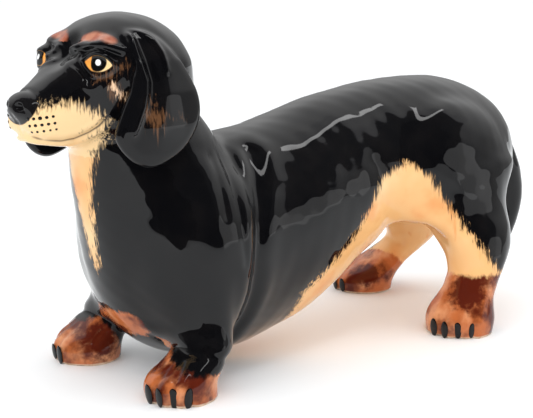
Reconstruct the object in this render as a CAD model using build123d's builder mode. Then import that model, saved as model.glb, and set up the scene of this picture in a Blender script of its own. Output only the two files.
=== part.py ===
from build123d import *
import os
from math import cos, pi, radians, sin

# A standing dachshund figurine: hollow slip castings, luted together wet and fired as one.
# +X points at the nose, +Y at the dog's left, +Z up, in millimetres. The soles stand on Z = 0
# and the origin is under the middle of the figurine.

# Clay
wall = 3.5  # thickness of slip left against the mould
sole_round = 1.2  # softened edge round each sole

# Overall stance
paw_spacing = 114.0  # fore paws to the leading hind paw
nose_reach = 39.7  # nose ahead of the fore paws
tail_reach = 68.2  # tail behind the leading hind paw
fore_stance = 50.0  # between the middles of the fore paws
hind_stance = 66.0  # between the middles of the hind paws
hind_stagger = 16.0  # how far the right hind paw stands behind the left one
trunk_rise = 57.0  # middle of the trunk above the floor
neck_lift = 38.0  # middle of the skull above the middle of the trunk

# Holes for air
passage_radius = 2.5  # from the trunk into each leg
vent_radius = 2.5  # from the trunk out under the belly
vent_back = 77.0  # vent behind the fore paws

# Head details
head_squareness = 2.5  # 2 draws round sections, more draws squarer ones
brow_spread = 13.5  # middle of each brow off the centre line
brow_radius = 4.8
nose_radius = 5.6

# Ears
ear_thickness = 5.6
ear_length = 28.0  # front edge to back edge across the widest part

# Tail
tail_radius = 6.5

fore_x = (paw_spacing + tail_reach - nose_reach) / 2
hind_x = fore_x - paw_spacing
fore_y = fore_stance / 2
hind_y = hind_stance / 2
shoulder_z = trunk_rise - 12
hip_z = trunk_rise - 4
head_rise = trunk_rise + neck_lift
section_points = 12  # points that each closed section is drawn through


def lofted(sections, thinner=0.0, squareness=2.0):
    """Lofts through closed sections, thinned by a wall where they bound a hollow.

    A section is the x, y, z of its centre, the pitch it faces (0 forward, 90 up), its half width,
    and its reach up and down from the centre. A section that faces up reaches back and forward.
    """
    power = 2 / squareness
    with BuildPart() as body:
        for x, y, z, pitch, half_width, up, down in sections:
            outline = []
            for step in range(section_points):
                turn = 2 * pi * step / section_points
                across = (half_width - thinner) * abs(cos(turn)) ** power
                reach = ((up if sin(turn) > 0 else down) - thinner) * abs(sin(turn)) ** power
                outline.append((across if cos(turn) > 0 else -across, reach if sin(turn) > 0 else -reach))
            facing = (cos(radians(pitch)), 0, sin(radians(pitch)))
            with BuildSketch(Plane(origin=(x, y, z), x_dir=(0, 1, 0), z_dir=facing)):
                with BuildLine():
                    Spline(*outline, periodic=True)
                make_face()
        loft()
    return body.part


# Trunk sections: along the back from the rump, then fanned round the nape into the neck
trunk_sections = [
    (hind_x - 51, 0, trunk_rise, 0, 10, 11, 11),
    (hind_x - 43, 0, trunk_rise, 0, 20, 20, 17),
    (hind_x - 29, 0, trunk_rise, 0, 27, 27, 22),
    (hind_x - 9, 0, trunk_rise, 0, 29, 30, 24),
    (hind_x + 15, 0, trunk_rise - 1, 0, 27, 30, 25),
    (hind_x + 39, 0, trunk_rise - 6, 0, 27, 31.5, 33),
    (fore_x - 49, 0, trunk_rise - 13, 0, 28.5, 32, 37.5),
    (fore_x - 29, 0, trunk_rise - 17, 5, 30, 33.5, 37),
    (fore_x - 12, 0, trunk_rise - 13, 35, 30, 30, 31.5),
    (fore_x - 8, 0, trunk_rise, 62, 26, 24, 26),
    (fore_x - 5, 0, trunk_rise + 16, 84, 21.5, 22, 24),
    (fore_x - 2, 0, head_rise - 9, 95, 16, 17, 16),
    (fore_x - 1, 0, head_rise - 2, 95, 12, 12, 12),
]
trunk_outside = lofted(trunk_sections)

# The head's outside: skull, stop and muzzle, back to front
head_sections = [
    (fore_x - 18, 0, head_rise - 1, -10, 8, 7, 9),
    (fore_x - 13, 0, head_rise, -10, 15, 12, 15),
    (fore_x - 5, 0, head_rise, -10, 20, 16, 18),
    (fore_x + 5, 0, head_rise, -10, 21.5, 17.5, 19),
    (fore_x + 14, 0, head_rise - 2, -10, 20.5, 15.5, 18),
    (fore_x + 21, 0, head_rise - 6, -10, 16, 12, 14),
    (fore_x + 28, 0, head_rise - 10, -12, 12, 10, 10.5),
    (fore_x + 34, 0, head_rise - 12, -14, 10, 8, 8.5),
    (fore_x + 38, 0, head_rise - 12.5, -16, 7, 5.5, 6.5),
]
head_outside = lofted(head_sections, squareness=head_squareness)


def foreleg_sections(side):
    """Sole up to the shoulder; side is 1 for the left and -1 for the right."""
    return [
        (fore_x + 1, side * fore_y, 0, 90, 10.5, 10, 10.5),
        (fore_x + 0.5, side * fore_y, 8, 90, 11, 10, 10),
        (fore_x - 6, side * fore_y, 15, 90, 9.5, 7.5, 7.5),
        (fore_x - 9, side * (fore_y - 1.5), 22, 90, 9, 8.5, 8),
        (fore_x - 11, side * (fore_y - 3), 30, 90, 9.5, 10.5, 9),
        (fore_x - 12, side * (fore_y - 6), shoulder_z - 5, 90, 10, 12, 11),
        (fore_x - 13, side * (fore_y - 9), shoulder_z + 4, 90, 9, 12, 12),
    ]


def hind_leg_sections(side, back):
    """Sole up to the hip; side is 1 for the left and -1 for the right, back is the paw's stagger."""
    return [
        (hind_x - back - 2, side * hind_y, 0, 90, 11, 9.5, 11),
        (hind_x - back - 3.5, side * hind_y, 9, 90, 11.5, 9.5, 11.5),
        (hind_x - back - 8, side * hind_y, 18, 90, 9.5, 8.5, 9.5),
        (hind_x - 0.7 * back - 13, side * (hind_y - 2), 27, 90, 10.5, 11.5, 15),
        (hind_x - 0.3 * back - 13, side * (hind_y - 7), hip_z - 15, 90, 12, 16, 22),
        (hind_x - 15, side * (hind_y - 12), hip_z - 3, 90, 13, 19, 24),
        (hind_x - 17, side * (hind_y - 19), hip_z + 9, 90, 10, 15, 18),
    ]


fore_passages = [(fore_x - 9, side * (fore_y - 4), shoulder_z - 23) for side in (1, -1)]
hind_passages = [(hind_x - 15, side * (hind_y - 12), hip_z - 17) for side in (1, -1)]
passage_length = 22.0

# Trunk: hollow, open at the top of the neck, pierced into each leg and vented under the belly
with BuildPart() as trunk:
    add(trunk_outside)
    add(lofted(trunk_sections[1:], thinner=wall), mode=Mode.SUBTRACT)
    with Locations(*fore_passages, *hind_passages):
        Cylinder(
            passage_radius,
            passage_length,
            align=(Align.CENTER, Align.CENTER, Align.MIN),
            mode=Mode.SUBTRACT,
        )
    with Locations((fore_x - vent_back, 0, 0)):
        Cylinder(
            vent_radius,
            trunk_rise - 15,
            align=(Align.CENTER, Align.CENTER, Align.MIN),
            mode=Mode.SUBTRACT,
        )
trunk.part.label = "trunk"

# Head: hollow, with modelled brows and nose leather, set down over the neck
with BuildPart() as head:
    add(head_outside)
    brow_x = fore_x + 15.5
    brow_z = head_rise + 7.5
    with Locations((brow_x, brow_spread, brow_z), (brow_x, -brow_spread, brow_z)):
        Sphere(brow_radius)
    with Locations((fore_x + nose_reach - nose_radius, 0, head_rise - 8.5)):
        Sphere(nose_radius)
    add(lofted(head_sections[1:-1], wall, head_squareness), mode=Mode.SUBTRACT)
    add(trunk_outside, mode=Mode.SUBTRACT)
head.part.label = "head"


def ear(side):
    """A leaf pressed onto the side of the skull and hanging past the jaw."""
    # x and y of the middle, z, share of the length, share of the thickness
    sections = [
        (fore_x + 5, 17, head_rise + 13, 0.5, 0.75),
        (fore_x + 4, 21, head_rise + 5, 0.75, 1),
        (fore_x + 4.5, 24, head_rise - 4, 0.93, 1),
        (fore_x + 5, 26, head_rise - 13, 1, 0.9),
        (fore_x + 6, 27, head_rise - 21, 0.7, 0.8),
        (fore_x + 7, 27, head_rise - 25, 0.35, 0.6),
    ]
    half_length = ear_length / 2
    half_thickness = ear_thickness / 2
    with BuildPart() as leaf:
        add(
            lofted(
                [
                    (x, side * y, z, 90, half_thickness * thick, half_length * long, half_length * long)
                    for x, y, z, long, thick in sections
                ]
            )
        )
        add(head_outside, mode=Mode.SUBTRACT)
        add(trunk_outside, mode=Mode.SUBTRACT)
    return leaf


ear_left = ear(1)
ear_left.part.label = "ear_left"
ear_right = ear(-1)
ear_right.part.label = "ear_right"


def leg(sections):
    """A casting with a filled paw, hollow above it and open where it is luted to the trunk."""
    with BuildPart() as limb:
        add(lofted(sections))
        fillet(limb.edges().sort_by(Axis.Z)[0], sole_round)
        add(lofted(sections[1:], thinner=wall), mode=Mode.SUBTRACT)
        add(trunk_outside, mode=Mode.SUBTRACT)
    return limb


foreleg_left = leg(foreleg_sections(1))
foreleg_left.part.label = "foreleg_left"
foreleg_right = leg(foreleg_sections(-1))
foreleg_right.part.label = "foreleg_right"
hind_leg_left = leg(hind_leg_sections(1, 0))
hind_leg_left.part.label = "hind_leg_left"
hind_leg_right = leg(hind_leg_sections(-1, hind_stagger))
hind_leg_right.part.label = "hind_leg_right"

# Tail: a solid roll curling down over the rump
tail_line = [
    # x, y, z, pitch, share of the radius
    (hind_x - 29, 0, trunk_rise + 16, 10, 0.7),
    (hind_x - 42, 0, trunk_rise + 12, 30, 0.85),
    (hind_x - 52.5, 0, trunk_rise + 4, 55, 1),
    (hind_x - 60, 1, trunk_rise - 8, 78, 1),
    (hind_x - 62, 2, trunk_rise - 21, 92, 0.92),
    (hind_x - 59, 3, trunk_rise - 32, 103, 0.7),
    (hind_x - 56, 3, trunk_rise - 40, 103, 0.4),
]
with BuildPart() as tail:
    tail_sections = [
        (x, y, z, pitch, r * tail_radius, r * tail_radius, r * tail_radius) for x, y, z, pitch, r in tail_line
    ]
    add(lofted(tail_sections))
    add(trunk_outside, mode=Mode.SUBTRACT)
    add(lofted(hind_leg_sections(1, 0)), mode=Mode.SUBTRACT)
    add(lofted(hind_leg_sections(-1, hind_stagger)), mode=Mode.SUBTRACT)
tail.part.label = "tail"

os.makedirs("parts", exist_ok=True)
export_step(trunk.part, "parts/trunk.step")
export_step(head.part, "parts/head.step")
export_step(ear_left.part, "parts/ear_left.step")
export_step(ear_right.part, "parts/ear_right.step")
export_step(foreleg_left.part, "parts/foreleg_left.step")
export_step(foreleg_right.part, "parts/foreleg_right.step")
export_step(hind_leg_left.part, "parts/hind_leg_left.step")
export_step(hind_leg_right.part, "parts/hind_leg_right.step")
export_step(tail.part, "parts/tail.step")
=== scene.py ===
import math

import bpy
import numpy as np
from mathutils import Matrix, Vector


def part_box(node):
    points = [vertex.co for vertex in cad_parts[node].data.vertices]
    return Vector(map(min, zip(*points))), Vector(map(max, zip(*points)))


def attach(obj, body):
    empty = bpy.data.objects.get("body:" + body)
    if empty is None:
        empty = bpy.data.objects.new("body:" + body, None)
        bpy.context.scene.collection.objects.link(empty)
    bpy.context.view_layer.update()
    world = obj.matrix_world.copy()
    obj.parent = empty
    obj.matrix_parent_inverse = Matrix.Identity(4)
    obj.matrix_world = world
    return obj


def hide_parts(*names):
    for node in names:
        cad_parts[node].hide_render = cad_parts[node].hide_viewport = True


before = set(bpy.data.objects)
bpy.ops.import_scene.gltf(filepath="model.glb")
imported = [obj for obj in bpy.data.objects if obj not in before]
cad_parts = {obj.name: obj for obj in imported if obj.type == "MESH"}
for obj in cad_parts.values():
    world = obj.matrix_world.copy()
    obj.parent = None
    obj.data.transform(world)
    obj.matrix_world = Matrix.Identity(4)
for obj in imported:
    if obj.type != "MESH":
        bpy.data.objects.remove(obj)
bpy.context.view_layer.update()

import openvdb
from mathutils import Matrix, Vector

MM = 0.001

# ------------------------------------------------
# The studio: a shelf-sized figurine on a white sweep inside a white tent. The dog's own frame
# starts midway between fore and hind paws: +x to the nose, +y to its left, in millimetres.
# ------------------------------------------------
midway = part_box("head")[1][0] / MM - 96.7

camera_data = bpy.data.cameras.new("camera")
camera_data.sensor_width = 36.0
camera_data.lens = 85.15
camera = bpy.data.objects.new("camera", camera_data)
bpy.context.scene.collection.objects.link(camera)
camera.location = Vector((267.74 + midway, 323.67, 129.8)) * MM
view = Vector((0.6210, 0.7592, 0.1951))  # from the dog to the camera
camera.rotation_euler = (-view).to_track_quat("-Z", "Y").to_euler()
camera_data.clip_start = 0.01
bpy.context.scene.camera = camera
bpy.context.scene.view_settings.view_transform = "Standard"


def in_group(tree, kind, **values):
    """A new node; a value is a property of the node, or else a starting value of its input."""
    node = tree.nodes.new(kind)
    for key, value in values.items():
        if hasattr(node, key):
            setattr(node, key, value)
        else:
            node.inputs[key].default_value = value
    return node


def wire(tree, *links):
    """Joins nodes; each link names a node and its output, then a node and its input."""
    for start, output, end, socket in links:
        tree.links.new(start.outputs[output], end.inputs[socket])


# The tent is white all round; a glossy ray sees its dark and light drapes
tent = bpy.data.worlds.new("white_tent")
tent.use_nodes = True
sky = tent.node_tree
toward = in_group(sky, "ShaderNodeTexCoord")
facing = in_group(sky, "ShaderNodeVectorMath", operation="DOT_PRODUCT")
facing.inputs[1].default_value = (0.60, 0.70, 0.38)
ripples = in_group(sky, "ShaderNodeTexNoise", Scale=2.6, Detail=4.0)
drape = in_group(sky, "ShaderNodeMath", operation="MULTIPLY_ADD")
drape.inputs[1].default_value = 0.62
shade = in_group(sky, "ShaderNodeValToRGB")
shade.color_ramp.elements[0].position = 0.30
shade.color_ramp.elements[0].color = (1.15, 1.15, 1.15, 1.0)
shade.color_ramp.elements[1].position = 0.98
shade.color_ramp.elements[1].color = (0.05, 0.05, 0.055, 1.0)
for stop, level in ((0.47, 0.85), (0.50, 0.14), (0.70, 0.10), (0.74, 0.05)):
    shade.color_ramp.elements.new(stop).color = (level, level, level * 1.03, 1.0)
parts = in_group(sky, "ShaderNodeSeparateXYZ")
height = in_group(sky, "ShaderNodeMapRange", interpolation_type="SMOOTHSTEP")
for socket, value in (("From Min", 0.05), ("From Max", 0.60), ("To Min", 0.38), ("To Max", 1.0)):
    height.inputs[socket].default_value = value
dimmed = in_group(sky, "ShaderNodeVectorMath", operation="SCALE")
white = in_group(sky, "ShaderNodeMix", data_type="RGBA")
white.inputs["A"].default_value = (1.15, 1.15, 1.15, 1.0)
ray = in_group(sky, "ShaderNodeLightPath")
wire(
    sky,
    (toward, "Generated", facing, 0),
    (toward, "Generated", ripples, "Vector"),
    (toward, "Generated", parts, 0),
    (ripples, "Fac", drape, 0),
    (facing, "Value", drape, 2),
    (drape, "Value", shade, "Fac"),
    (parts, "Z", height, "Value"),
    (shade, "Color", dimmed, 0),
    (height, "Result", dimmed, "Scale"),
    (ray, "Is Glossy Ray", white, "Factor"),
    (dimmed, 0, white, "B"),
    (white, "Result", sky.nodes["Background"], "Color"),
)
bpy.context.scene.world = tent


def studio_material(name, colour, roughness):
    material = bpy.data.materials.new(name)
    material.use_nodes = True
    shader = material.node_tree.nodes["Principled BSDF"]
    shader.inputs["Base Color"].default_value = (*colour, 1.0)
    shader.inputs["Roughness"].default_value = roughness
    return material


def studio_sheet(name, corners, material):
    mesh = bpy.data.meshes.new(name)
    mesh.from_pydata([Vector(c) for c in corners], [], [list(range(len(corners)))])
    mesh.materials.append(material)
    sheet = bpy.data.objects.new(name, mesh)
    bpy.context.scene.collection.objects.link(sheet)
    return sheet


floor_white = studio_material("floor_white", (0.945, 0.965, 0.98), 0.6)
studio_sheet("floor", [(-6, -6, 0), (6, -6, 0), (6, 6, 0), (-6, 6, 0)], floor_white)

# The tent's dark opening round the camera, which the glaze mirrors in irregular patches
tent_gap = studio_material("tent_gap", (0.002, 0.002, 0.003), 1.0)
tent_gap.node_tree.nodes["Principled BSDF"].inputs["Specular IOR Level"].default_value = 0.0
side = Vector((-0.7742, 0.6330, 0.0))
rise = view.cross(side)
gap_centre = camera.location + view * 0.12
gap_outline = [
    (-0.33, -0.06), (-0.30, 0.10), (-0.17, 0.16), (-0.12, 0.27), (0.02, 0.30), (0.10, 0.20),
    (0.24, 0.21), (0.30, 0.08), (0.27, -0.08), (0.12, -0.10), (-0.02, -0.16), (-0.20, -0.12),
]
dark_card = studio_sheet("tent_gap", [gap_centre + side * a + rise * b for a, b in gap_outline], tent_gap)
dark_card.visible_camera = False
dark_card.visible_diffuse = False
dark_card.visible_shadow = False


def softbox(name, place, aim, width, height, watts, shape="RECTANGLE", mirrored=True):
    light = bpy.data.lights.new(name, "AREA")
    light.shape = shape
    light.size = width
    light.size_y = height
    light.energy = watts
    lamp = bpy.data.objects.new(name, light)
    lamp.location = place
    lamp.rotation_euler = (Vector(aim) - Vector(place)).to_track_quat("-Z", "Y").to_euler()
    lamp.visible_glossy = mirrored
    bpy.context.scene.collection.objects.link(lamp)


softbox("fill_front", (0.75, 0.45, 0.45), (0.0, 0.0, 0.05), 1.0, 1.0, 3.0, mirrored=False)
softbox("fill_above", (0.0, 0.0, 1.3), (0.0, 0.0, 0.0), 2.0, 2.0, 2.0, mirrored=False)
softbox("strip_above", (-0.10, 0.25, 0.85), (0.0, 0.0, 0.05), 0.9, 0.07, 1.1)
softbox("side_window", (-0.62, 0.80, 0.12), (0.0, 0.0, 0.06), 0.50, 0.36, 0.45, shape="ELLIPSE")

# ------------------------------------------------
# The luted clay that every casting is cut from: slip castings joined wet, so that no joint
# shows. Their outsides are filled, joined and smoothed as one body, then modelled by hand.
# ------------------------------------------------
CASTINGS = ("trunk", "head", "foreleg_left", "foreleg_right", "hind_leg_left", "hind_leg_right")
VENT = (-20.0, 0.0)  # middle of the firing vent under the belly


def casting_triangles(node):
    """A casting's triangles, in the dog's own frame."""
    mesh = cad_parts[node].data
    mesh.calc_loop_triangles()
    points = np.empty(len(mesh.vertices) * 3, np.float32)
    mesh.vertices.foreach_get("co", points)
    corners = np.empty(len(mesh.loop_triangles) * 3, np.int32)
    mesh.loop_triangles.foreach_get("vertices", corners)
    points = points.reshape(-1, 3) / MM
    points[:, 0] -= midway
    return points, corners.reshape(-1, 3)


class Block:
    """A block of space sampled on a grid, in the dog's own frame."""

    def __init__(self, low, high, pitch):
        self.pitch = pitch
        self.first = np.floor(np.array(low) / pitch).astype(int)
        self.shape = tuple(np.ceil(np.array(high) / pitch).astype(int) - self.first + 1)
        self.axes = [(self.first[a] + np.arange(self.shape[a])) * pitch for a in range(3)]

    def distance(self, points, triangles, reach):
        """Distance to a closed surface, negative inside, right up to reach."""
        half = reach / self.pitch
        grid = openvdb.FloatGrid.createLevelSetFromPolygons(
            points, triangles=triangles, transform=openvdb.createLinearTransform(self.pitch), halfWidth=half
        )
        field = np.full(self.shape, reach, np.float32)
        grid.copyToArray(field, ijk=tuple(int(i) for i in self.first))
        return field

    def skin(self, field):
        """The surface where a field is zero, as points and quads."""
        grid = openvdb.FloatGrid(float(field.max()))
        grid.copyFromArray(np.ascontiguousarray(field, np.float32), ijk=tuple(int(i) for i in self.first))
        grid.transform = openvdb.createLinearTransform(self.pitch)
        points, quads = grid.convertToQuads(0.0)
        return points, quads

    def sample(self, field, points):
        """A field read between the grid's points."""
        place = points / self.pitch - self.first
        low = np.clip(np.floor(place).astype(int), 0, np.array(self.shape) - 2)
        part = (place - low).astype(np.float32)
        total = np.zeros(len(points), np.float32)
        for dx in (0, 1):
            for dy in (0, 1):
                for dz in (0, 1):
                    share = (
                        (part[:, 0] if dx else 1 - part[:, 0])
                        * (part[:, 1] if dy else 1 - part[:, 1])
                        * (part[:, 2] if dz else 1 - part[:, 2])
                    )
                    total += share * field[low[:, 0] + dx, low[:, 1] + dy, low[:, 2] + dz]
        return total


def softened(field, spread):
    """A field blurred evenly; spread is in grid steps."""
    span = int(math.ceil(spread * 2.6))
    weights = np.exp(-0.5 * (np.arange(-span, span + 1) / spread) ** 2)
    weights /= weights.sum()
    for axis in range(3):
        padded = np.pad(field, [(span, span) if a == axis else (0, 0) for a in range(3)], mode="edge")
        size = field.shape[axis]
        total = np.zeros_like(field)
        for step, weight in enumerate(weights):
            cut = [slice(None)] * 3
            cut[axis] = slice(step, step + size)
            total += np.float32(weight) * padded[tuple(cut)]
        field = total
    return field


def merged(a, b, blend):
    """Two clay shapes joined with a fillet."""
    share = np.clip(0.5 + 0.5 * (b - a) / blend, 0, 1)
    return b + (a - b) * share - blend * share * (1 - share)


def carved(a, b, blend):
    """Shape b taken out of shape a, with a softened edge."""
    return -merged(-a, b, blend)


def ellipsoid(points, centre, radii):
    ratio = (points - np.array(centre, np.float32)) / np.array(radii, np.float32)
    first = np.linalg.norm(ratio, axis=1)
    second = np.linalg.norm(ratio / np.array(radii, np.float32), axis=1)
    return first * (first - 1) / np.maximum(second, 1e-6)


def strand(points, line, weights=(1, 1, 1)):
    """Distance to a line through given points; a weight under 1 forgives distance along an axis."""
    scale = np.array(weights, np.float32)
    line = np.array(line, np.float32) * scale
    where = points * scale
    best = np.full(len(points), 1e9, np.float32)
    for a, b in zip(line[:-1], line[1:]):
        run = b - a
        along = np.clip((where - a) @ run / max(float(run @ run), 1e-9), 0, 1)
        best = np.minimum(best, np.linalg.norm(where - a - along[:, None] * run, axis=1))
    return best


def bump(distance, width):
    """1 where the distance is zero, falling off smoothly over the width."""
    return np.exp(-((distance / width) ** 2))


def ridge(points, line, width, weights=(1, 0, 1)):
    """A rounded ridge along a line, 1 on the line; seen from the side unless weighted otherwise."""
    return bump(strand(points, line, weights), width)


def inside_outline(u, v, outline):
    """Signed distance to a closed outline in a plane, positive inside."""
    outline = np.array(outline, np.float32)
    best = np.full(len(u), 1e9, np.float32)
    within = np.zeros(len(u), bool)
    for (ax, ay), (bx, by) in zip(outline, np.roll(outline, -1, axis=0)):
        run = (bx - ax, by - ay)
        size = run[0] ** 2 + run[1] ** 2
        along = np.clip(((u - ax) * run[0] + (v - ay) * run[1]) / size, 0, 1)
        best = np.minimum(best, (u - ax - along * run[0]) ** 2 + (v - ay - along * run[1]) ** 2)
        crosses = (ay > v) != (by > v)
        within ^= crosses & (u < run[0] * (v - ay) / (run[1] if run[1] else 1e-9) + ax)
    return np.where(within, 1, -1) * np.sqrt(best)


def rounded(outline, steps=6):
    """A closed outline with a smooth curve drawn through its points."""
    points = np.array(outline, float)
    smooth = []
    for i in range(len(points)):
        p0, p1, p2, p3 = (points[(i + k - 1) % len(points)] for k in range(4))
        for t in np.linspace(0, 1, steps, endpoint=False):
            smooth.append(
                0.5 * (2 * p1 + (p2 - p0) * t + (2 * p0 - 5 * p1 + 4 * p2 - p3) * t**2
                       + (3 * p1 - p0 - 3 * p2 + p3) * t**3)
            )
    return np.array(smooth)


def folded(points):
    """Points mirrored on to the dog's left side."""
    return np.stack([points[..., 0], np.abs(points[..., 1]), points[..., 2]], -1)


def open_to(air, ways):
    """The part of the air that a straight look from outside reaches."""
    reached = np.zeros(air.shape, bool)
    for axis, back in ways:
        seen = np.flip(air, axis) if back else air
        seen = np.logical_and.accumulate(seen, axis=axis)
        reached |= np.flip(seen, axis) if back else seen
    return reached


def joined_castings(block, reach=8.0):
    """The outsides of the luted castings as one filled body, softened where they meet."""
    joint = np.full(block.shape, reach, np.float32)
    for node in CASTINGS:
        joint = np.minimum(joint, block.distance(*casting_triangles(node), reach))
    open_air = joint > 0
    x, y, z = np.meshgrid(*block.axes, indexing="ij", sparse=True)
    plug = ((x - VENT[0]) ** 2 + (y - VENT[1]) ** 2 < 3.6**2) & (z > 20.5) & (z < 45)
    open_air &= ~plug
    ways = [(axis, back) for axis in range(3) for back in (False, True)]
    if block.first[2] * block.pitch > 20:  # a block of the head alone is cut through the neck below
        ways.remove((2, False))
    outside = open_to(open_air, ways)
    for _ in range(10):
        grown = outside.copy()
        for axis in range(3):
            ahead = [slice(None)] * 3
            behind = [slice(None)] * 3
            ahead[axis] = slice(1, None)
            behind[axis] = slice(None, -1)
            grown[tuple(ahead)] |= outside[tuple(behind)]
            grown[tuple(behind)] |= outside[tuple(ahead)]
        outside = grown & open_air
    filled = np.where(outside | (joint <= -0.01), joint, -2.0).astype(np.float32)
    points, quads = block.skin(filled)
    triangles = np.vstack([quads[:, [0, 1, 2]], quads[:, [0, 2, 3]]]).astype(np.int32)
    whole = block.distance(points.astype(np.float32), triangles, reach)
    whole = np.where(outside, np.abs(whole), -np.abs(whole))
    sole = int(round(1.8 / block.pitch)) - block.first[2]
    if sole > 0:  # the soles are cut flat after the smoothing
        whole[:, :, :sole] = whole[:, :, sole : sole + 1]
    soft = softened(whole, 1.3 / block.pitch)
    fillet = softened(whole, 4.0 / block.pitch)
    return merged(soft, fillet, 0.8)


# Creases at the shoulder and the neck, seen from the side
SHOULDER_CREASE = [
    (22, 0, 69), (26, 0, 60), (30, 0, 50), (31.8, 0, 38), (32, 0, 28), (33, 0, 20), (36, 0, 11),
]
NECK_FOLDS = [
    [(35, 0, 73), (36.7, 0, 65), (37.6, 0, 58), (37.9, 0, 48), (37, 0, 38)],
    [(29, 0, 70), (30.5, 0, 63), (31.6, 0, 56)],
    [(42, 0, 70), (43, 0, 62), (43.4, 0, 54)],
]


def worked_trunk(points, clay, tail):
    """Shoulders, thighs, the belly's arch, creases and ribs; the sides match except for the tail."""
    x, z = points[:, 0], points[:, 2]
    both = folded(points)
    clay = merged(clay, ellipsoid(both, (46, 19, 42), (17, 12.5, 25)), 7.0)
    clay = merged(clay, ellipsoid(both, (-62, 21.5, 54), (24, 11, 24)), 7.0)
    clay = merged(clay, tail, 1.6)
    clay = carved(clay, ellipsoid(both, (-47, 10, 30), (13, 24, 10.5)), 5.0)
    on_side = np.clip((both[:, 1] - 6) / 8, 0, 1)
    crease = strand(both, SHOULDER_CREASE, (1, 0, 1))
    groove = 1.15 * bump(crease, 2.6)
    clay = clay + on_side * (groove - 0.4 * bump(crease - 5.5, 3.0))
    for fold in NECK_FOLDS:
        gap = strand(both, fold, (1, 0, 1))
        clay = clay + on_side * (0.55 * bump(gap, 1.3))
    ribs = bump(x - 5, 22) * bump(z - 52, 16) * on_side
    clay = clay - 0.5 * ribs
    flank = strand(both, [(-24, 0, 62), (-30, 0, 50), (-34, 0, 40)], (1, 0, 1))
    clay = clay + on_side * 0.8 * bump(flank, 4.0)
    return clay


# The middle of each paw on the floor: fore left, fore right, hind left and hind right
PAWS = [(58.3, 25.0), (58.3, -25.0), (-59.6, 33.0), (-75.6, -33.0)]


def worked_paws(points, clay):
    """Toes, ankle folds and flat soles, and the mouth of the vent."""
    x, y, z = points.T
    for cx, cy in PAWS:
        sleeve = 0.55 if cx > 0 else 0.12
        near = (np.abs(x - cx) < 24) & (np.abs(y - cy) < 16) & (z < 26)
        px, py, pz = x[near] - cx, y[near] - cy, z[near]
        angle = np.degrees(np.arctan2(py, px + 4))
        front = np.clip((px + 2) / 5, 0, 1) * np.clip((13.0 - pz) / 5, 0, 1)
        toes = sum(bump(angle * np.sign(cy) - a, 4.5) for a in (4.5, 26, 48))
        shape = clay[near]
        shape = shape + front * (0.9 * toes - 0.3)
        fold_z = 14.2 + np.clip(px, -10, 8) * 0.25
        shape = shape + sleeve * bump(pz - fold_z, 1.1)
        shape = shape - 0.8 * sleeve * bump(pz - fold_z - 3.2, 1.8)
        clay[near] = shape
    clay = -merged(-clay, z, 0.8)
    clay = carved(clay, np.maximum(np.hypot(x - VENT[0], y - VENT[1]) - 2.5, z - 24), 0.4)
    return clay


def leaning_leg(block, whole):
    """The right hind leg leans back and inward from its paw up to the thigh."""
    rear, middle, thigh = (np.searchsorted(axis, end) for axis, end in zip(block.axes, (-36, 2, 54)))
    part = [block.axes[0][:rear], block.axes[1][:middle], block.axes[2][:thigh]]
    points = np.stack(np.meshgrid(*part, indexing="ij"), -1)
    x, y, z = (points[..., axis] for axis in range(3))
    steps = [(z - 3) / 20, (54 - z) / 28, (2 - y) / 10, (-36 - x) / 14]
    lean = np.full(x.shape, 14.0)
    for step in steps:
        step = np.clip(step, 0, 1)
        lean = lean * step * step * (3 - 2 * step)
    before = points - lean[..., None] * np.array((-0.774, 0.633, 0.0))
    whole[:rear, :middle, :thigh] = block.sample(whole, before.reshape(-1, 3)).reshape(x.shape)
    return whole


# Lines on the left half of the face, from the nose backwards
BROW = [(78.6, 3.2, 102.3), (77.2, 6.5, 103.9), (76.9, 12.0, 104.3), (74.9, 16.6, 104.2), (71.4, 18.4, 103.0)]
UNDER_BROW = [(79.4, 3.2, 100.6), (78.2, 7, 102.2), (77.8, 12, 102.5), (75.8, 16.6, 102.4), (72, 18.6, 101.4)]
MOUTH = [
    (96.2, 0, 80.2), (94.2, 4.8, 79.2), (91, 8, 77.9), (86, 8.9, 77.4), (82.1, 9.6, 77.9),
    (78.7, 12.3, 79.7), (76.6, 14.5, 81.6), (75.6, 15.7, 83.4),
]


def eye_socket(middle, outer_corner):
    """Where an eye sits on the left side, and its outward, upward and looking directions."""
    out = np.array(outer_corner, np.float32)
    up = np.array((-0.10, 0.06, 0.993), np.float32)
    up -= up @ out * out
    up /= np.linalg.norm(up)
    look = np.cross(out, up)
    return np.array(middle, np.float32), out, up, look if look[0] > 0 else -look


# The right eye was set a little further round to the front than the left one
LEFT_EYE = eye_socket((76.6, 14.7, 99.6), (-0.525, 0.845, -0.103))
RIGHT_EYE = eye_socket((79.3, 14.4, 99.6), (-0.05, 0.998, -0.03))


def at_eyes(points):
    """Across, up and out from the nearer eye's middle, for spots folded on to the left side."""
    right = points[:, 1] < 0
    frames = []
    for middle, out, up, look in (LEFT_EYE, RIGHT_EYE):
        away = folded(points) - middle
        frames.append((away @ out, away @ up, away @ look))
    return [np.where(right, b, a) for a, b in zip(*frames)]


def almond(u, v):
    """Signed distance to the eye's outline, positive inside."""
    return np.minimum(5.4 - np.hypot(u, v + 3.4), 5.2 - np.hypot(u, v - 2.7))


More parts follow.
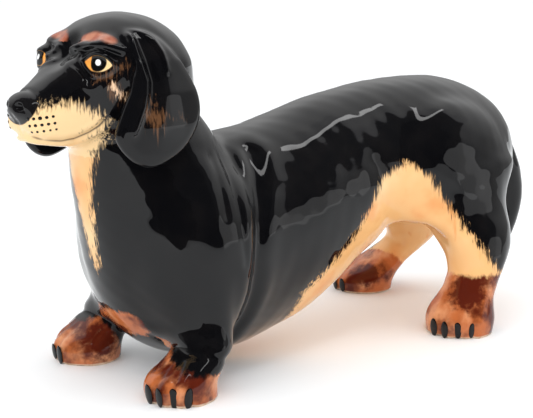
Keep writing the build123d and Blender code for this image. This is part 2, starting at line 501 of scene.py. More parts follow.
def worked_head(points, clay):
    """Brows, eyes, muzzle, nose leather, nostrils and mouth."""
    near = (points[:, 0] > 34) & (points[:, 2] > 66)
    right = points[near][:, 1] < 0
    p = folded(points[near])
    hx, hy, hz = p.T
    head = clay[near]
    head = merged(head, ellipsoid(p, (59.5, 0, 99.4), (17, 17.5, 13.2)), 3.0)
    head = carved(head, ellipsoid(p, (84, 0, 104.5), (8.5, 6.5, 5.6)), 3.5)
    unworked = head
    head = merged(head, strand(p, BROW) - 1.0, 1.6)
    head = head + 0.55 * ridge(p, UNDER_BROW, 1.1, (1, 1, 1))
    head = carved(head, ellipsoid(p, (80.5, 16.5, 100.2), (4.4, 5.8, 2.9)), 2.0)
    head = np.where(right, unworked * 0.55 + head * 0.45, head)  # the right brow is flatter
    u, v, depth = at_eyes(points[near])
    ball = np.sqrt(u**2 + v**2 + (depth + 4.6) ** 2) - 5.2
    head = merged(head, ball, 0.6)
    slit = almond(u, v)
    at_eye = np.exp(-((depth / 4.0) ** 4)) * np.where(right, 0.4, 1.0)
    lid = 0.75 * bump(slit + 0.7, 0.6) * (1 + 0.5 * np.clip(v, -1, 1))
    head = head - at_eye * lid
    head = head + at_eye * 0.35 * bump(slit + 2.2, 0.7)
    tear_line = [(79.5, 3.8, 102.4), (80.8, 8.1, 99.4), (80, 11.5, 97.4), (79.6, 14.2, 94.4)]
    crease = strand(p, tear_line, (1, 0.6, 1))
    head = head + 0.7 * bump(crease, 0.8) - 0.4 * bump(crease - 1.9, 0.9)
    head = merged(head, ellipsoid(p, (84.4, 4.8, 82.8), (9.7, 5.7, 5.2)), 1.6)
    head = carved(head, ellipsoid(p, (91, 0, 70.4), (11, 14, 6.2)), 2.0)
    head = merged(head, ellipsoid(p, (92.6, 0, 86.9), (4.9, 7.4, 4.5)), 0.9)
    rim_back = ellipsoid(p, (93.8, 0, 86.8), (5.0, 8.4, 5.4))
    head = head + 0.55 * bump(rim_back, 0.7) * np.clip((hz - 84) / 3, 0, 1)
    head = carved(head, ellipsoid(p, (97.2, 3.3, 87.6), (2.2, 1.6, 1.25)), 0.5)
    head = carved(head, strand(p, [(96.6, 3.6, 87.2), (95.8, 6.4, 86.0)]) - 0.55, 0.5)
    head = head + 0.9 * ridge(p, [(99, 0, 84.6), (96, 0, 79.6)], 0.8, (0.3, 1, 1))
    lips = strand(p, MOUTH, (1, 0.3, 1))
    parting = 0.85 * bump(lips, 0.75) - 0.3 * bump(lips - 1.9, 1.0)
    head = head + parting * (hx > 74)
    jaw = strand(p, [(75.5, 0, 77), (71, 0, 76), (67, 0, 79)], (1, 0, 1))
    head = head + 0.7 * bump(jaw, 1.6) * np.clip((hy - 3) / 5, 0, 1)
    clay[near] = head
    return clay


# Each ear is a pressed leaf: an outline, a middle surface that wraps the skull, and folds
EAR_OUTLINE = rounded([
    (69.5, 108.6), (64, 109.5), (58, 107), (52.5, 101), (48.5, 93.5), (46.8, 87), (48.5, 81),
    (53.5, 75.2), (60, 71.2), (67, 69), (73, 70.8), (77.4, 75.5), (78.6, 80.5), (75.8, 87),
    (72.4, 93.5), (70.6, 99.5), (70.6, 104.5),
])


def ear_clay(points):
    """Both ears; the right one sits a little further forward and lower."""
    x, y, z = points.T
    x = np.where(y < 0, x - 3.4, x)
    z = np.where(y < 0, z + 2.8, z)
    y = np.abs(y)
    points = np.stack([x, y, z], -1)
    height = np.array([66, 74, 82, 91, 100, 106, 111], np.float32)
    middle = np.interp(z, height, [26.2, 26.6, 26.0, 24.2, 20.8, 17.2, 12.5])
    middle = middle - 2.6 * np.clip((x - 63) / 15, -1.5, 1.5) ** 2
    half = np.interp(z, height, [1.7, 2.0, 2.3, 2.5, 2.6, 2.6, 2.6])
    edge = -inside_outline(x, z, EAR_OUTLINE)
    front_line = [(69, 0, 108), (69.2, 0, 101), (68.5, 0, 95), (70.5, 0, 88), (74, 0, 81)]
    front_fold = ridge(points, front_line, 1.25)
    top_fold = ridge(points, [(66, 0, 109), (62.5, 0, 107), (60.5, 0, 102.5), (60, 0, 97)], 1.1)
    top_fold = top_fold * np.clip((z - 92) / 10, 0, 1)
    valley = ridge(points, [(66, 0, 107), (65.4, 0, 101), (64.8, 0, 94), (67, 0, 86)], 1.6)
    valley = valley * np.clip((z - 80) / 12, 0, 1)
    rim = bump(edge + 1.3, 0.9)
    middle = middle + 1.8 * front_fold + 1.5 * top_fold - 1.2 * valley + 0.45 * rim * (z < 100)
    slab = np.abs(y - middle) * 0.93 - half
    return -merged(-(edge + 1.0), -slab, 3.0)


def wavering(points):
    """The slight unevenness of a hand-finished surface."""
    x, y, z = points.T
    return (
        0.10 * np.sin(x * 0.21 + 1.3) * np.sin(z * 0.24 + y * 0.11 + 0.4)
        + 0.07 * np.sin(x * 0.37 + z * 0.31 + 2.1) * np.sin(y * 0.33 - z * 0.17 + 0.9)
        + 0.045 * np.sin(x * 0.71 - z * 0.53 + 0.2) * np.sin(z * 0.67 + y * 0.58 + x * 0.2)
    )


def above_collar(points):
    """Height over the slanted cut round the neck where the head was luted on."""
    return points[..., 2] - 80.0 + (points[..., 0] - 30.0) * 0.178


class Clay:
    """A finished block of clay, with its skin; a block of the head blends into the body below it."""

    def __init__(self, block, below=None):
        self.block = block
        whole = joined_castings(block)
        if not below:
            whole = leaning_leg(block, whole)
        tail = softened(block.distance(*casting_triangles("tail"), 8.0), 0.8 / block.pitch).reshape(-1)
        grid = np.stack(np.meshgrid(*block.axes, indexing="ij"), -1).reshape(-1, 3).astype(np.float32)
        field = whole.reshape(-1).copy()
        skull = np.full_like(field, 9.0)
        ears = np.full_like(field, 9.0)
        band = np.abs(np.minimum(field, tail)) < 6.5
        if below:
            x, y, z = grid.T
            band |= (np.abs(np.abs(y) - 21) < 11) & (x > 42) & (x < 84) & (z > 64) & (z < 114)
        points = grid[band]
        clay = worked_trunk(points, field[band], tail[band])
        clay = worked_paws(points, clay)
        clay = worked_head(points, clay)
        clay = clay + wavering(points)
        if below:
            share = np.clip((above_collar(points) - 0.5) / 4.5, 0, 1)
            share = share * share * (3 - 2 * share)
            clay = clay * share + below.block.sample(below.field, points) * (1 - share)
            skull[band] = clay
            ears[band] = ear_clay(points)
            clay = merged(clay, ears[band], 1.2)
        field[band] = clay
        field[~band] = np.sign(field[~band]) * 6.5
        self.field, self.skull, self.ears, self.tail = (
            values.reshape(block.shape) for values in (field, skull, ears, tail)
        )
        points, self.quads = block.skin(self.field)
        self.points, self.normals = self.settled(points)
        self.middles = self.points[self.quads].mean(1)

    def settled(self, points):
        """Points moved exactly on to the surface, and the surface's direction there."""
        block = self.block
        slopes = [softened(g, 0.7) for g in np.gradient(self.field, block.pitch)]
        for _ in range(2):
            away = block.sample(self.field, points)
            slope = np.stack([block.sample(s, points) for s in slopes], -1)
            step = (away / np.maximum((slope**2).sum(1), 0.3))[:, None] * slope
            points = points - np.clip(step, -0.4 * block.pitch, 0.4 * block.pitch)
        slope = np.stack([block.sample(s, points) for s in slopes], -1)
        return points, slope / np.maximum(np.linalg.norm(slope, axis=1), 1e-6)[:, None]


body = Clay(Block((-130, -54, -6), (108, 54, 120), 0.75))
head = Clay(Block((24, -34, 58), (104, 34, 120), 0.42), body)


# ------------------------------------------------
# The trunk: the hollow casting of rump, barrel, chest and neck, dipped in black slip. Cream and
# rust are put on by brush, in hair strokes along every border, under one clear glaze.
# ------------------------------------------------
def settled_stance(points):
    """The finished dog stands a hair taller than its castings, its left fore paw set outward."""
    x, y, z = points.T
    near = np.clip((24 - np.hypot(x - 58, y - 26)) / 9, 0, 1) * np.clip((30 - z) / 18, 0, 1)
    near = near * near * (3 - 2 * near)
    return np.stack([x - 1.2 * near + midway, y + 2.5 * near, z * 1.01], -1) * MM


def open_rims(faces):
    """The edges that only one face has, grouped by the rim that they belong to."""
    edges = {}
    for face in faces:
        for a, b in zip(face, np.roll(face, -1)):
            if (b, a) in edges:
                del edges[(b, a)]
            else:
                edges[(a, b)] = True
    parent = {}

    def root_of(i):
        while parent.setdefault(i, i) != i:
            parent[i] = parent[parent[i]]
            i = parent[i]
        return i

    for a, b in edges:
        parent[root_of(a)] = root_of(b)
    rims = {}
    for a, b in edges:
        rims.setdefault(root_of(a), []).append((a, b))
    return list(rims.values())


def casting_piece(name, clay, chosen, material):
    """Cuts one casting out of the clay, closes it where it was cut, and keeps its smooth surface."""
    quads = clay.quads[chosen]
    used, inverse = np.unique(quads, return_inverse=True)
    faces = inverse.reshape(-1, 4)
    points, normals = clay.points[used], clay.normals[used]
    caps = []
    hubs = []
    for rim in open_rims(faces):
        hub = len(points) + len(hubs)
        hubs.append(points[np.unique(np.array(rim))].mean(0))
        caps += [(int(b), int(a), hub) for a, b in rim]
    if hubs:
        points = np.vstack([points, hubs])
        normals = np.vstack([normals, np.zeros((len(hubs), 3))])
    mesh = bpy.data.meshes.new(name)
    mesh.from_pydata(settled_stance(points).tolist(), [], faces.tolist() + [list(c) for c in caps])
    mesh.polygons.foreach_set("use_smooth", [True] * len(faces) + [False] * len(caps))
    mesh.update()
    corner_vertices = np.empty(len(mesh.loops), np.int32)
    mesh.loops.foreach_get("vertex_index", corner_vertices)
    corner_normals = normals[corner_vertices]
    corner_normals[len(faces) * 4:] = 0
    mesh.normals_split_custom_set(corner_normals.tolist())
    mesh.materials.append(material)
    piece = bpy.data.objects.new(name, mesh)
    bpy.context.scene.collection.objects.link(piece)
    return piece, points


def painted_zone(piece, name, values):
    """Signed distance to a painted zone, positive inside, kept on the piece's points."""
    layer = piece.data.attributes.new(name, "FLOAT", "POINT")
    layer.data.foreach_set("value", np.ascontiguousarray(values, np.float32))


def effect_group(name, starts, output="Mask", kind="Float"):
    """A shader node group with named inputs, and its own input and output nodes."""
    group = bpy.data.node_groups.new(name, "ShaderNodeTree")
    for socket, start in starts.items():
        start_kind = "NodeSocketVector" if isinstance(start, tuple) else "NodeSocketFloat"
        made = group.interface.new_socket(socket, in_out="INPUT", socket_type=start_kind)
        made.default_value = start
    group.interface.new_socket(output, in_out="OUTPUT", socket_type="NodeSocket" + kind)
    return group, in_group(group, "NodeGroupInput"), in_group(group, "NodeGroupOutput")


def fade(group, enter, leave, node, output):
    """Lets a mask rise over twice the group's softness, half way where the node's value is 0."""
    low = in_group(group, "ShaderNodeMath", operation="MULTIPLY")
    low.inputs[1].default_value = -1.0
    edge = in_group(group, "ShaderNodeMapRange", interpolation_type="SMOOTHSTEP")
    wire(
        group,
        (enter, "Softness", low, 0),
        (low, 0, edge, "From Min"),
        (enter, "Softness", edge, "From Max"),
        (node, output, edge, "Value"),
        (edge, "Result", leave, "Mask"),
    )


def brush_group():
    """Turns a zone's distance into a mask whose border breaks into hair strokes."""
    starts = {"Zone": 0.0, "Reach": 4.0, "Softness": 0.8, "Across": 950.0, "Along": 130.0}
    group, enter, leave = effect_group("hair_stroke_border", starts)
    place = in_group(group, "ShaderNodeTexCoord")
    stretch = in_group(group, "ShaderNodeCombineXYZ")
    scaled = in_group(group, "ShaderNodeVectorMath", operation="MULTIPLY")
    hair = in_group(group, "ShaderNodeTexNoise", Scale=1.0, Detail=3.0, Roughness=0.6)
    centred = in_group(group, "ShaderNodeMath", operation="SUBTRACT")
    centred.inputs[1].default_value = 0.52
    double = in_group(group, "ShaderNodeMath", operation="MULTIPLY")
    double.inputs[1].default_value = 2.4
    swing = in_group(group, "ShaderNodeMath", operation="MULTIPLY_ADD")
    wire(
        group,
        (enter, "Across", stretch, "X"),
        (enter, "Across", stretch, "Y"),
        (enter, "Along", stretch, "Z"),
        (place, "Object", scaled, 0),
        (stretch, 0, scaled, 1),
        (scaled, 0, hair, "Vector"),
        (hair, "Fac", centred, 0),
        (enter, "Reach", double, 0),
        (centred, 0, swing, 0),
        (double, 0, swing, 1),
        (enter, "Zone", swing, 2),
    )
    fade(group, enter, leave, swing, 0)
    return group


def mottle_group():
    """The cloudy patches that a sponge leaves, as a mask."""
    starts = {"Scale": 200.0, "From": 0.4, "To": 0.7, "Detail": 3.0, "Stretch": (1.0, 1.0, 1.0)}
    group, enter, leave = effect_group("sponge_mottle", starts)
    place = in_group(group, "ShaderNodeTexCoord")
    scaled = in_group(group, "ShaderNodeVectorMath", operation="MULTIPLY")
    noise = in_group(group, "ShaderNodeTexNoise")
    span = in_group(group, "ShaderNodeMapRange", interpolation_type="SMOOTHSTEP")
    wire(
        group,
        (place, "Object", scaled, 0),
        (enter, "Stretch", scaled, 1),
        (scaled, 0, noise, "Vector"),
        (enter, "Scale", noise, "Scale"),
        (enter, "Detail", noise, "Detail"),
        (noise, "Fac", span, "Value"),
        (enter, "From", span, "From Min"),
        (enter, "To", span, "From Max"),
        (span, "Result", leave, "Mask"),
    )
    return group


def ripple_group():
    """The faint unevenness of a dipped glaze, as a surface direction."""
    group, _, leave = effect_group("glaze_ripple", {}, "Normal", "Vector")
    place = in_group(group, "ShaderNodeTexCoord")
    ripple = in_group(group, "ShaderNodeTexNoise", Scale=90.0, Detail=1.0)
    bump = in_group(group, "ShaderNodeBump", Strength=0.10, Distance=0.0006)
    wire(
        group,
        (place, "Object", ripple, "Vector"),
        (ripple, "Fac", bump, "Height"),
        (bump, "Normal", leave, "Normal"),
    )
    return group


hair_stroke_border = brush_group()
sponge_mottle = mottle_group()
glaze_ripple = ripple_group()

COAT_BLACK = (0.0026, 0.0026, 0.0032)
COAT_SHEEN = (0.0044, 0.0040, 0.0044)
CREAM = (0.81, 0.56, 0.29)
CREAM_DEEP = (0.79, 0.45, 0.19)
CREAM_ORANGE = (0.74, 0.31, 0.10)
RUST = (0.45, 0.125, 0.038)
# The darkest rust, which also paints the dark reflections on the paws
DARK_RUST_AND_REFLECTION = (0.085, 0.012, 0.005)
RUST_PALE = (0.70, 0.33, 0.165)
GLAZE_ROUGHNESS = 0.045


class Painting:
    """A black glaze on clay; every colour laid on it goes over the ones before."""

    def __init__(self, name):
        self.material = bpy.data.materials.new(name)
        self.material.use_nodes = True
        self.tree = self.material.node_tree
        self.shader = self.tree.nodes["Principled BSDF"]
        self.shader.inputs["Roughness"].default_value = GLAZE_ROUGHNESS
        self.shader.inputs["IOR"].default_value = 1.38
        ripple = in_group(self.tree, "ShaderNodeGroup", node_tree=glaze_ripple)
        self.tree.links.new(ripple.outputs["Normal"], self.shader.inputs["Normal"])
        self.show(self.mixed(self.mottle(140.0, 0.35, 0.75), COAT_BLACK, COAT_SHEEN))

    def show(self, colour):
        self.colour = colour
        self.tree.links.new(colour, self.shader.inputs["Base Color"])

    def mask(self, group, zone=None, **values):
        """A shared effect as a mask; zone names the piece's attribute that it follows."""
        node = in_group(self.tree, "ShaderNodeGroup", node_tree=group)
        for socket, value in values.items():
            node.inputs[socket].default_value = value
        if zone:
            read = in_group(self.tree, "ShaderNodeAttribute", attribute_name=zone)
            self.tree.links.new(read.outputs["Fac"], node.inputs["Zone"])
        return node.outputs["Mask"]

    def mottle(self, scale, low, high, detail=3.0, stretch=(1.0, 1.0, 1.0)):
        return self.mask(sponge_mottle, Scale=scale, From=low, To=high, Detail=detail, Stretch=stretch)

    def brushed(self, zone, reach, softness, across=1400.0, along=140.0):
        return self.mask(hair_stroke_border, zone, Reach=reach, Softness=softness, Across=across, Along=along)

    def drawn(self, zone, softness):
        return self.mask(drawn_edge, zone, Softness=softness)

    def mixed(self, mask, under, over):
        node = in_group(self.tree, "ShaderNodeMix", data_type="RGBA")
        self.tree.links.new(mask, node.inputs["Factor"])
        for socket, value in ((node.inputs["A"], under), (node.inputs["B"], over)):
            if isinstance(value, tuple):
                socket.default_value = (*value, 1.0)
            else:
                self.tree.links.new(value, socket)
        return node.outputs["Result"]

    def lay(self, mask, colour):
        """Puts a colour over the painting so far."""
        self.show(self.mixed(mask, self.colour, colour))

    def lay_cream(self):
        """The warm cream of belly and legs, deeper in broad clouds."""
        pale = self.mixed(self.mottle(38.0, 0.50, 0.76), CREAM_DEEP, CREAM)
        cream = self.mixed(self.mottle(60.0, 0.50, 0.74), pale, CREAM_ORANGE)
        cream = self.mixed(self.mottle(260.0, 0.62, 0.80, stretch=(1.0, 1.0, 0.25)), cream, CREAM_ORANGE)
        self.lay(self.brushed("cream", 4.2, 1.3), cream)

    def rust(self):
        """Sponged red-brown, pale in some places and dark in others."""
        rust = self.mixed(self.mottle(120.0, 0.44, 0.74, 4.0, (1.0, 1.0, 0.7)), RUST, RUST_PALE)
        return self.mixed(self.mottle(85.0, 0.47, 0.64, 5.0), rust, DARK_RUST_AND_REFLECTION)

    def lay_rust(self, rust):
        self.lay(self.brushed("rust", 1.6, 0.8, 500.0, 300.0), rust)


# Side views of the cream on belly and thigh, and on the muzzle
BELLY_OUTLINE = [
    (8, -4), (8, 12), (6.5, 23), (-1, 29), (-11.5, 37.5), (-20, 48), (-26, 57), (-37, 61.5), (-46, 55.5),
    (-51, 46.5), (-57, 38), (-63, 29), (-68, 22), (-80, 20), (-80, -4),
]
MUZZLE_OUTLINE = [
    (98, 85), (94.5, 87), (87.5, 88.5), (83.5, 88), (80, 86.5), (76.5, 84.5), (75, 82.5), (74.5, 79),
    (73, 76), (70, 74), (73, 66), (98, 66),
]


def cream_zone(points):
    """The cream of belly, inner legs, throat and muzzle."""
    x, y, z = points.T
    w = np.abs(y)
    belly = inside_outline(x, z, BELLY_OUTLINE)
    under = np.minimum(np.minimum(14 - w - np.clip(x - 10, 0, 40) * 0.4, 38 - x), 30 - z)
    inner = np.minimum(np.minimum(np.where(y < 0, 34, 27.5) - w, 42 - z), -30 - x)
    throat = np.interp(z, [32, 36, 40, 50, 60, 68, 74, 80], [-2, 0.5, 2.0, 3.3, 4.6, 6.2, 8.2, 10]) - w
    throat = np.minimum(throat, x - 58)
    throat = np.where(z > 82, -5, throat)
    muzzle = inside_outline(x, z, MUZZLE_OUTLINE)
    muzzle = np.where(x < 60, -5, np.minimum(muzzle, 11 + (z - 76) * 0.8 - w))
    muzzle = np.minimum(muzzle, np.where(z < 74, throat, 9))
    face = np.maximum(muzzle, throat)
    body = np.maximum(np.maximum(belly, under), inner)
    return np.where(z > 63, face, np.maximum(body, throat))


def rust_zone(points):
    """The rust of the paws and of the patch across the chest."""
    x, y, z = points.T
    w = np.abs(y)
    top = np.where(y > 0, 13.4, 15.0)
    fore = np.where((x > 36) & (w > 10), top - z - 0.24 * (w - 16) - np.clip(55 - x, 0, 20) * 0.25, -9)
    fore = np.where(y > 0, fore, np.minimum(fore, 0.85 * (x - 49.5 - 0.62 * z)))
    top = np.where(y < 0, 18.5 + np.clip(x + 75, -9, 1.5), 20.5)
    hind = np.where(x < -30, top - z, -9)
    chest = 4.4 - strand(points, [(62.5, 6.5, 18.8), (62, 0, 18.2), (58.5, -14, 17.6)], (0.5, 1, 1))
    return np.maximum.reduce([fore, hind, chest])


coat = Painting("painted_coat_glaze")
coat.lay_cream()
coat.lay_rust(coat.rust())

# The body is cut where the castings were luted: round the neck, at the legs and along the tail
x, y, z = body.middles.T
body_part = np.full(len(x), "trunk", object)
body_part[(above_collar(body.middles) > 0) & (x > 26)] = "above"
body_part[(x > 36) & (z < 19.0) & (y > 9) & (z < 19 - (16 - y) * 0.6)] = "foreleg_left"
body_part[(x > 36) & (z < 19.0) & (y < -9) & (z < 19 - (16 + y) * 0.6)] = "foreleg_right"
body_part[(x < -36) & (z < 34) & (y > 12)] = "hind_leg_left"
body_part[(x < -36) & (z < 34) & (y < -9)] = "hind_leg_right"
body_part[(body.block.sample(body.tail, body.middles) < 0.55) & (x < -95)] = "tail"

trunk, spots = casting_piece("trunk_glazed", body, body_part == "trunk", coat.material)
painted_zone(trunk, "cream", cream_zone(spots))
painted_zone(trunk, "rust", rust_zone(spots))
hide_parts("trunk")
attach(trunk, "root")

# ------------------------------------------------
# The tail: a solid roll of clay, luted down the rump while both were wet. It is plain black
# under the clear glaze.
# ------------------------------------------------
tail_paint = Painting("painted_tail_glaze")
tail, _ = casting_piece("tail_glazed", body, body_part == "tail", tail_paint.material)
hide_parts("tail")
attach(tail, "root")


# ------------------------------------------------
# The fore legs: two short hollow castings luted under the chest. Their paws are sponged rust
# with dark reflections painted over it, and the sole's edge is wiped clean of glaze before the firing.
# ------------------------------------------------
def edge_group():
    """Turns a zone's distance into a mask with the clean edge of a fine brush."""
    group, enter, leave = effect_group("drawn_edge", {"Zone": 0.0, "Softness": 0.2})
    fade(group, enter, leave, enter, "Zone")
    return group


drawn_edge = edge_group()

BARE_CLAY = (0.72, 0.56, 0.42)
BARE_CLAY_DARK = (0.52, 0.33, 0.20)
SOLE_EDGE = 0.7  # height of the wiped edge

# Each dark reflection painted on a paw has its middle and its reach
PAINTED_DARK_REFLECTIONS = [
    ((64, 32, 9.5), 3.8), ((60, -16, 7.5), 6.5),
    ((-55, 40, 17), 7.5), ((-61, 41, 9.5), 3.5), ((-66, -24, 9), 6.5),
]

leg_paint = Painting("painted_leg_glaze")
leg_paint.lay_cream()
# The dark patches on top of the paws are painted reflections, in the darkest rust colour
reflected_dark = leg_paint.brushed("painted_dark_reflection", 4.0, 2.4, 420.0, 420.0)
leg_paint.lay_rust(leg_paint.mixed(reflected_dark, leg_paint.rust(), DARK_RUST_AND_REFLECTION))
wiped = leg_paint.drawn("clay", 0.35)
leg_paint.lay(wiped, leg_paint.mixed(leg_paint.mottle(500.0, 0.4, 0.7), BARE_CLAY, BARE_CLAY_DARK))
rough = in_group(leg_paint.tree, "ShaderNodeMapRange")
rough.inputs["To Min"].default_value = GLAZE_ROUGHNESS
rough.inputs["To Max"].default_value = 0.75
leg_paint.tree.links.new(wiped, rough.inputs["Value"])
leg_paint.tree.links.new(rough.outputs["Result"], leg_paint.shader.inputs["Roughness"])


def painted_leg(node):
    """One leg cut from the body, with its cream, rust, painted dark reflections and wiped sole."""
    leg, spots = casting_piece(node + "_glazed", body, body_part == node, leg_paint.material)
    painted_zone(leg, "cream", cream_zone(spots))
    painted_zone(leg, "rust", rust_zone(spots))
    painted_zone(leg, "clay", SOLE_EDGE - spots[:, 2])
    dark_reflections = [size - np.linalg.norm(spots - np.array(place), axis=1) for place, size in PAINTED_DARK_REFLECTIONS]
    painted_zone(leg, "painted_dark_reflection", np.maximum.reduce(dark_reflections))
    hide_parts(node)
    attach(leg, "root")


for node in ("foreleg_left", "foreleg_right"):
    painted_leg(node)

# ------------------------------------------------
# The hind legs: two hollow castings from the thigh down, luted under the rump. They are painted
# as the fore legs are, with the belly's cream running down their inner sides.
# ------------------------------------------------
for node in ("hind_leg_left", "hind_leg_right"):
    painted_leg(node)

# ------------------------------------------------
# The head: a hollow casting luted over the neck. Its eyes, brows, mouth and nose leather are
# drawn with a fine brush, and the cream of the muzzle runs down the throat.
# ------------------------------------------------
BROW_RUST = (0.30, 0.075, 0.035)
BROW_RUST_PALE = (0.42, 0.16, 0.09)
STREAK_BROWN = (0.105, 0.048, 0.022)
TUFT_CREAM = (0.78, 0.52, 0.33)
IRIS_AMBER = (0.86, 0.36, 0.07)
IRIS_STRAW = (0.83, 0.60, 0.30)
PUPIL_BLACK = (0.003, 0.003, 0.003)
GLINT_WHITE = (0.95, 0.95, 0.95)
INK_BLACK = (0.006, 0.0055, 0.006)


def brow_zone(points):
    """The two brow spots, softer below than above."""
    line = [(76.2, 5.6, 105.6), (74.6, 8.5, 106.6), (74.2, 12.5, 106.6), (73.6, 16.2, 105.8)]
    patch = 1.7 - strand(folded(points), line)
    return np.where(points[:, 2] > 104.6, patch, patch - 1.2)


def ink_zone(points):
    """The black line of the mouth and the nose leather."""
    ink = 0.34 - strand(folded(points), MOUTH, (1, 0.3, 1))
    ink = np.maximum(ink, 0.6 - strand(folded(points), [(97.5, 0, 85), (96, 0, 79.8)], (0.4, 1, 1)))
    ink = np.where(points[:, 0] > 74, ink, -3)
    return np.maximum(-ellipsoid(points, (94.3, 0, 86.9), (6.2, 7.8, 4.9)), ink)


face = Painting("painted_head_glaze")
face.lay(face.brushed("cream", 4.2, 1.7), face.mixed(face.mottle(60.0, 0.50, 0.74), CREAM, CREAM_DEEP))
brow_mottle = face.mottle(300.0, 0.40, 0.66, stretch=(1.0, 1.0, 0.3))
face.lay(face.drawn("brow", 0.9), face.mixed(brow_mottle, BROW_RUST, BROW_RUST_PALE))
face.lay(face.brushed("streaks", 6.0, 1.8, 1300.0, 60.0), STREAK_BROWN)
face.lay(face.brushed("tuft", 2.4, 0.7, 1600.0, 260.0), TUFT_CREAM)
face.lay(face.drawn("iris", 0.18), face.mixed(face.drawn("iris_side", 2.2), IRIS_AMBER, IRIS_STRAW))
face.lay(face.drawn("pupil", 0.18), PUPIL_BLACK)
face.lay(face.drawn("glint", 0.2), GLINT_WHITE)
face.lay(face.drawn("ink", 0.2), INK_BLACK)

leafy = head.block.sample(head.ears, head.middles) < head.block.sample(head.skull, head.middles)
head_part = np.full(len(head.middles), "below", object)
head_part[(above_collar(head.middles) > -0.6) & (head.middles[:, 0] > 26)] = "head"
head_part[leafy & (head.middles[:, 1] > 0)] = "ear_left"
head_part[leafy & (head.middles[:, 1] < 0)] = "ear_right"

skull, spots = casting_piece("head_glazed", head, head_part == "head", face.material)
painted_zone(skull, "cream", cream_zone(spots))
painted_zone(skull, "brow", brow_zone(spots))
painted_zone(skull, "ink", ink_zone(spots))
cheek = folded(spots)
below_eye = 0.5 - strand(cheek, [(77.4, 16.4, 95.4), (74.6, 18.8, 96.9), (71.5, 20.5, 98.4)])
by_cheek = 1.2 - strand(cheek, [(74.6, 18.9, 92.6), (72.4, 20, 90)])
painted_zone(skull, "streaks", np.maximum(below_eye, by_cheek))
painted_zone(skull, "tuft", 0.7 - strand(cheek, [(74.6, 18.7, 93.2), (73, 19.6, 91), (72, 20, 89.8)]))
u, v, depth = at_eyes(spots)
on_eye = np.abs(depth) < 5
pupil = np.minimum(2.55 - np.hypot(u, (v - 0.3) * 0.92), almond(u, v) + 0.05)
painted_zone(skull, "iris", np.where(on_eye, almond(u, v), -5))
painted_zone(skull, "iris_side", np.where(on_eye, u, -5))
painted_zone(skull, "pupil", np.where(on_eye, pupil, -5))
painted_zone(skull, "glint", np.where(on_eye, 0.85 - np.hypot(u, v - 0.1), -5))
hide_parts("head")
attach(skull, "root")

# ------------------------------------------------
# The ears: two leaves of clay pressed in a mould, folded at the front edge and luted to the
# skull. A dry brush leaves brown hair strokes on the outside of each.
# ------------------------------------------------
ear_paint = Painting("painted_ear_glaze")
ear_paint.lay(ear_paint.brushed("streaks", 6.0, 1.8, 1300.0, 60.0), STREAK_BROWN)
for node in ("ear_left", "ear_right"):
    ear, spots = casting_piece(node + "_glazed", head, head_part == node, ear_paint.material)
    strokes = 6.0 - np.hypot(spots[:, 0] - 66.5, (spots[:, 2] - 84.5) / 1.25)
    strokes = np.maximum(strokes, 3.5 - np.hypot((spots[:, 0] - 57.5) / 1.6, (spots[:, 2] - 83.5) / 0.8))
    painted_zone(ear, "streaks", np.where(np.abs(spots[:, 1]) > 24, strokes - 3.6, -9))
    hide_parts(node)
    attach(ear, "root")


# ------------------------------------------------
# The whisker dots: drops of thick black slip let fall from a fine brush in three rows on each
# cheek, so that they stand a little proud under the glaze. One drop is repeated.
# ------------------------------------------------
def drops_tree():
    """Lays one rounded drop on every point, turned and sized by the point's own attributes."""
    tree = bpy.data.node_groups.new("laid_drops", "GeometryNodeTree")
    kinds = {"Geometry": "Geometry", "Size": "Float", "Unevenness": "Float", "Seed": "Int"}
    kinds["Material"] = "Material"
    for name, kind in kinds.items():
        tree.interface.new_socket(name, in_out="INPUT", socket_type="NodeSocket" + kind)
    tree.interface.new_socket("Geometry", in_out="OUTPUT", socket_type="NodeSocketGeometry")
    enter = in_group(tree, "NodeGroupInput")
    leave = in_group(tree, "NodeGroupOutput")
    drop = in_group(tree, "GeometryNodeMeshUVSphere", Segments=20, Rings=12, Radius=1.0)
    smooth = in_group(tree, "GeometryNodeSetShadeSmooth")
    turn = in_group(tree, "GeometryNodeInputNamedAttribute", data_type="FLOAT_VECTOR", Name="turn")
    span = in_group(tree, "GeometryNodeInputNamedAttribute", data_type="FLOAT_VECTOR", Name="span")
    chance = in_group(tree, "FunctionNodeRandomValue", data_type="FLOAT")
    least = in_group(tree, "ShaderNodeMath", operation="SUBTRACT")
    least.inputs[0].default_value = 1.0
    most = in_group(tree, "ShaderNodeMath", operation="ADD")
    most.inputs[0].default_value = 1.0
    varied = in_group(tree, "ShaderNodeMath", operation="MULTIPLY")
    scaled = in_group(tree, "ShaderNodeVectorMath", operation="SCALE")
    lay = in_group(tree, "GeometryNodeInstanceOnPoints")
    real = in_group(tree, "GeometryNodeRealizeInstances")
    paint = in_group(tree, "GeometryNodeSetMaterial")
    wire(
        tree,
        (enter, "Unevenness", least, 1),
        (enter, "Unevenness", most, 1),
        (least, 0, chance, "Min"),
        (most, 0, chance, "Max"),
        (enter, "Seed", chance, "Seed"),
        (chance, "Value", varied, 0),
        (enter, "Size", varied, 1),
        (span, "Attribute", scaled, 0),
        (varied, 0, scaled, "Scale"),
        (enter, "Geometry", lay, "Points"),
        (drop, "Mesh", smooth, "Geometry"),
        (smooth, "Geometry", lay, "Instance"),
        (turn, "Attribute", lay, "Rotation"),
        (scaled, 0, lay, "Scale"),
        (lay, "Instances", real, "Geometry"),
        (real, "Geometry", paint, "Geometry"),
        (enter, "Material", paint, "Material"),
        (paint, "Geometry", leave, "Geometry"),
    )
    return tree


laid_drops = drops_tree()
slip_black = Painting("slip_black_glaze").material


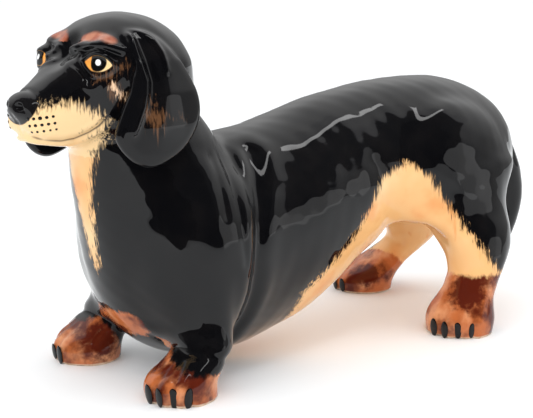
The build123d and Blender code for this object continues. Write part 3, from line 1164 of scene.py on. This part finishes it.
def on_clay(clay, starts, ends):
    """Where the way from starts to ends comes out of the clay, and the surface's direction there."""
    near, far = np.array(starts, float), np.array(ends, float)
    for _ in range(30):
        middle = (near + far) / 2
        within = (clay.block.sample(clay.field, middle) < 0)[:, None]
        near = np.where(within, middle, near)
        far = np.where(within, far, middle)
    steps = np.eye(3) * 0.6
    ahead = np.stack([clay.block.sample(clay.field, near + s) for s in steps], -1)
    slope = ahead - np.stack([clay.block.sample(clay.field, near - s) for s in steps], -1)
    return near, slope / np.linalg.norm(slope, axis=1)[:, None]


def laid(name, spots, outward, spans, unevenness, seed):
    """A piece made of upright drops lying on given spots of the clay."""
    mesh = bpy.data.meshes.new(name + "_spots")
    mesh.from_pydata(settled_stance(np.array(spots, float)).tolist(), [], [])
    turns = []
    for out in outward:
        out = Vector(out).normalized()
        up = (Vector((0, 0, 1)) - out * out.z).normalized()
        across = up.cross(out)
        turns += Matrix((across, up, out)).transposed().to_euler()
    mesh.attributes.new("turn", "FLOAT_VECTOR", "POINT").data.foreach_set("vector", turns)
    span = mesh.attributes.new("span", "FLOAT_VECTOR", "POINT")
    span.data.foreach_set("vector", np.ravel(spans) * MM)
    holder = bpy.data.objects.new(name + "_spots", mesh)
    bpy.context.scene.collection.objects.link(holder)
    work = holder.modifiers.new("drops", "NODES")
    work.node_group = laid_drops
    inputs = [item for item in laid_drops.interface.items_tree if item.in_out == "INPUT"]
    sockets = {item.name: item.identifier for item in inputs}
    work[sockets["Size"]] = 1.0
    work[sockets["Unevenness"]] = unevenness
    work[sockets["Seed"]] = seed
    work[sockets["Material"]] = slip_black
    depsgraph = bpy.context.evaluated_depsgraph_get()
    made = bpy.data.meshes.new_from_object(holder.evaluated_get(depsgraph), depsgraph=depsgraph)
    made.name = name
    bpy.data.objects.remove(holder)
    for attribute in ("turn", "span"):
        if attribute in made.attributes:
            made.attributes.remove(made.attributes[attribute])
    piece = bpy.data.objects.new(name, made)
    bpy.context.scene.collection.objects.link(piece)
    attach(piece, "root")
    return piece


dot_starts, dot_ends, dot_spans = [], [], []
for row, height in enumerate((84.2, 82.3, 80.5)):
    for column in range(5):
        radius = 0.58 - 0.07 * row - 0.02 * column
        for side in (1, -1):
            turn = math.radians(28 + 8.5 * column + 2.0 * row)
            run = np.array([math.cos(turn), math.sin(turn) * side, 0.0])
            root = np.array([84.0, 0.0, height + 0.2 * column])
            dot_starts.append(root + run * 3)
            dot_ends.append(root + run * 20)
            dot_spans.append((radius, radius * 0.9, 0.16))
dots, outward = on_clay(head, dot_starts, dot_ends)
whisker_dots = laid("whisker_dots", dots, outward, dot_spans, unevenness=0.12, seed=7)

# ------------------------------------------------
# The claws: four thick strokes of the same black slip down the front of each paw, laid with
# the brush that made the dots and fired under the same glaze.
# ------------------------------------------------
claw_starts, claw_ends, claw_spans = [], [], []
for cx, cy in PAWS:
    for turn in (-6, 15, 36, 60):
        a = math.radians(turn if cy > 0 else -turn)
        claw_starts.append((cx, cy, 3.0))
        claw_ends.append((cx + 24 * math.cos(a), cy + 24 * math.sin(a), 3.0))
        claw_spans.append((1.5, 3.0, 0.4))
claw_spots, outward = on_clay(body, claw_starts, claw_ends)
claws = laid("claws", claw_spots, outward, claw_spans, unevenness=0.14, seed=3)
